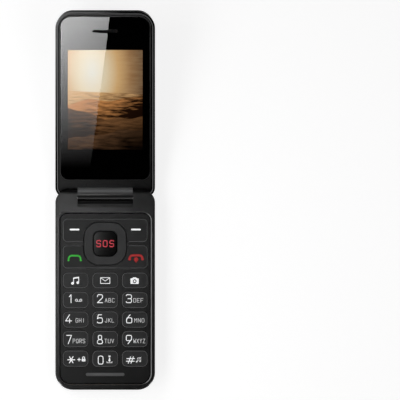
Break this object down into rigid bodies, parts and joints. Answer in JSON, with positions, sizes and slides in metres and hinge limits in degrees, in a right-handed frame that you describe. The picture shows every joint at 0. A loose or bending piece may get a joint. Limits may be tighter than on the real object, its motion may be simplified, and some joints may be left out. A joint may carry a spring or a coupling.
{
  "type": "flip phone",
  "caption": "Black clamshell mobile phone with a folding lid, inner colour display, outer status window, number keypad, navigation ring and emergency key.",
  "frame": {"origin": "middle of the phone's bounding rectangle, at the height of its back, open and lying on its back", "axes": "+X to the user's right, +Y from the keypad towards the lid, +Z out of the keypad"},
  "size_m": [0.0524, 0.1999, 0.0418],
  "materials": {
    "housing": "satin charcoal moulding",
    "keypad": "satin",
    "bar": "satin grey",
    "keys": "fine matt",
    "sos": "polished",
    "gloss_cover": "piano black",
    "window": "tinted, polished",
    "display": "polished",
    "trim": "brushed",
    "rubber": "matt silicone",
    "board": "solder resist",
    "steel": "bright",
    "battery": "wrapped cell",
    "inner_plastic": "matt",
    "grille": "dark mesh",
    "light_guide": "clear",
    "led": "clear"
  },
  "bodies": {
    "base": {"base_front_housing": "housing", "base_rear_housing": "housing", "keypad_panel": "keypad", "keypad_bar": "bar", "keypad_mat": "rubber", "dome_sheet": "board", "main_board": "board", "shield_cans": "steel", "card_holders": "inner_plastic", "battery": "battery", "battery_connector": "inner_plastic", "antenna_carrier": "inner_plastic", "microphone": "inner_plastic", "loudspeaker": "inner_plastic", "vibration_motor": "steel", "camera_module": "inner_plastic", "camera_window": "window", "torch_led": "light_guide", "headphone_socket": "inner_plastic", "usb_socket": "steel", "base_screws": "steel", "hinge_cradle": "housing", "cam_hinge_shaft": "steel"},
    "lid": {"lid_outer_cover": "gloss_cover", "lid_inner_housing": "housing", "display_window": "window", "earpiece_grille": "grille", "earpiece_receiver": "inner_plastic", "display_module": "display", "lid_board": "board", "lid_magnet": "steel", "status_window": "window", "status_trim": "trim", "status_mask": "inner_plastic", "status_light_guides": "light_guide", "status_leds": "led", "lid_screws": "steel", "cam_hinge_case": "steel", "hinge_pin": "steel"},
    "battery_cover": {"battery_cover": "housing"},
    "soft_key_rocker": {"soft_key_rocker": "keys"},
    "call_key_rocker": {"call_key_rocker": "keys"},
    "nav_web": {"nav_web": "rubber"},
    "nav_ring": {"nav_ring": "keys"},
    "sos_key": {"sos_key": "sos"},
    "key_star": {"key_star": "keys"},
    "key_0": {"key_0": "keys"},
    "key_hash": {"key_hash": "keys"},
    "key_7": {"key_7": "keys"},
    "key_8": {"key_8": "keys"},
    "key_9": {"key_9": "keys"},
    "key_4": {"key_4": "keys"},
    "key_5": {"key_5": "keys"},
    "key_6": {"key_6": "keys"},
    "key_1": {"key_1": "keys"},
    "key_2": {"key_2": "keys"},
    "key_3": {"key_3": "keys"},
    "music_key": {"music_key": "keys"},
    "message_key": {"message_key": "keys"},
    "camera_key": {"camera_key": "keys"}
  },
  "joints": [
    {"name": "lid_fold", "type": "hinge", "parent": "base", "child": "lid", "pos_m": [0, 0.00317, 0.0099], "axis": [1, 0, 0], "range_deg": [0, 160]},
    {"name": "battery_cover_slide", "type": "slide", "parent": "base", "child": "battery_cover", "axis": [0, -1, 0], "range_m": [0, 0.07]},
    {"name": "key_star_press", "type": "slide", "parent": "base", "child": "key_star", "axis": [0, 0, -1], "range_m": [0, 0.00035], "stiffness_N_per_m": 1500, "springref_m": -0.0002},
    {"name": "key_0_press", "type": "slide", "parent": "base", "child": "key_0", "axis": [0, 0, -1], "range_m": [0, 0.00035], "stiffness_N_per_m": 1500, "springref_m": -0.0002},
    {"name": "key_hash_press", "type": "slide", "parent": "base", "child": "key_hash", "axis": [0, 0, -1], "range_m": [0, 0.00035], "stiffness_N_per_m": 1500, "springref_m": -0.0002},
    {"name": "key_7_press", "type": "slide", "parent": "base", "child": "key_7", "axis": [0, 0, -1], "range_m": [0, 0.00035], "stiffness_N_per_m": 1500, "springref_m": -0.0002},
    {"name": "key_8_press", "type": "slide", "parent": "base", "child": "key_8", "axis": [0, 0, -1], "range_m": [0, 0.00035], "stiffness_N_per_m": 1500, "springref_m": -0.0002},
    {"name": "key_9_press", "type": "slide", "parent": "base", "child": "key_9", "axis": [0, 0, -1], "range_m": [0, 0.00035], "stiffness_N_per_m": 1500, "springref_m": -0.0002},
    {"name": "key_4_press", "type": "slide", "parent": "base", "child": "key_4", "axis": [0, 0, -1], "range_m": [0, 0.00035], "stiffness_N_per_m": 1500, "springref_m": -0.0002},
    {"name": "key_5_press", "type": "slide", "parent": "base", "child": "key_5", "axis": [0, 0, -1], "range_m": [0, 0.00035], "stiffness_N_per_m": 1500, "springref_m": -0.0002},
    {"name": "key_6_press", "type": "slide", "parent": "base", "child": "key_6", "axis": [0, 0, -1], "range_m": [0, 0.00035], "stiffness_N_per_m": 1500, "springref_m": -0.0002},
    {"name": "key_1_press", "type": "slide", "parent": "base", "child": "key_1", "axis": [0, 0, -1], "range_m": [0, 0.00035], "stiffness_N_per_m": 1500, "springref_m": -0.0002},
    {"name": "key_2_press", "type": "slide", "parent": "base", "child": "key_2", "axis": [0, 0, -1], "range_m": [0, 0.00035], "stiffness_N_per_m": 1500, "springref_m": -0.0002},
    {"name": "key_3_press", "type": "slide", "parent": "base", "child": "key_3", "axis": [0, 0, -1], "range_m": [0, 0.00035], "stiffness_N_per_m": 1500, "springref_m": -0.0002},
    {"name": "music_key_press", "type": "slide", "parent": "base", "child": "music_key", "axis": [0, 0, -1], "range_m": [0, 0.00035], "stiffness_N_per_m": 1500, "springref_m": -0.0002},
    {"name": "message_key_press", "type": "slide", "parent": "base", "child": "message_key", "axis": [0, 0, -1], "range_m": [0, 0.00035], "stiffness_N_per_m": 1500, "springref_m": -0.0002},
    {"name": "camera_key_press", "type": "slide", "parent": "base", "child": "camera_key", "axis": [0, 0, -1], "range_m": [0, 0.00035], "stiffness_N_per_m": 1500, "springref_m": -0.0002},
    {"name": "sos_key_press", "type": "slide", "parent": "base", "child": "sos_key", "axis": [0, 0, -1], "range_m": [0, 0.00035], "stiffness_N_per_m": 1500, "springref_m": -0.0002},
    {"name": "soft_key_rocker_tip", "type": "hinge", "parent": "base", "child": "soft_key_rocker", "pos_m": [0, -0.01595, 0.00995], "axis": [0, 1, 0], "range_deg": [-0.8, 0.8], "stiffness_Nm_per_rad": 2},
    {"name": "call_key_rocker_tip", "type": "hinge", "parent": "base", "child": "call_key_rocker", "pos_m": [0, -0.0299, 0.00995], "axis": [0, 1, 0], "range_deg": [-0.8, 0.8], "stiffness_Nm_per_rad": 2},
    {"name": "nav_tip_left_right", "type": "hinge", "parent": "base", "child": "nav_web", "pos_m": [0, -0.02293, 0.0097], "axis": [0, 1, 0], "range_deg": [-1.3, 1.3], "stiffness_Nm_per_rad": 1},
    {"name": "nav_tip_up_down", "type": "hinge", "parent": "nav_web", "child": "nav_ring", "pos_m": [0, -0.02293, 0.0097], "axis": [1, 0, 0], "range_deg": [-1.3, 1.3], "stiffness_Nm_per_rad": 1}
  ]
}
